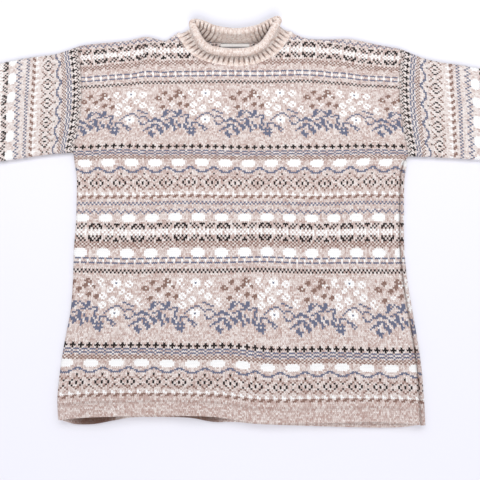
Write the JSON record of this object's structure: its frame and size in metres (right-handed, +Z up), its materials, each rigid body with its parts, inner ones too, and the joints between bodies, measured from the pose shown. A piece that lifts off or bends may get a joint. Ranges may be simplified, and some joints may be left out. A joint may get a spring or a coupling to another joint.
{
  "type": "fair isle jumper",
  "caption": "Knitted jumper laid flat, with patterned bands, set-on sleeves, turned hems and a ribbed collar whose edge rolls outwards.",
  "frame": {"origin": "middle of the garment's box, on the surface that it lies on", "axes": "+X along the sleeves, +Y from hem to neck, +Z up from the surface through the back and the front"},
  "size_m": [1.504, 0.6884, 0.0329],
  "materials": {
    "patterned_knit": "flecked pale wool knit with bands of blue, black, brown and white",
    "plain_knit": "flecked pale wool knit, ribbed",
    "label_tape": "plain woven tape"
  },
  "bodies": {
    "root": {"front": "patterned_knit", "back": "patterned_knit", "sleeve_left": "patterned_knit", "sleeve_right": "patterned_knit", "collar": "plain_knit", "neck_label": "label_tape"}
  },
  "joints": []
}
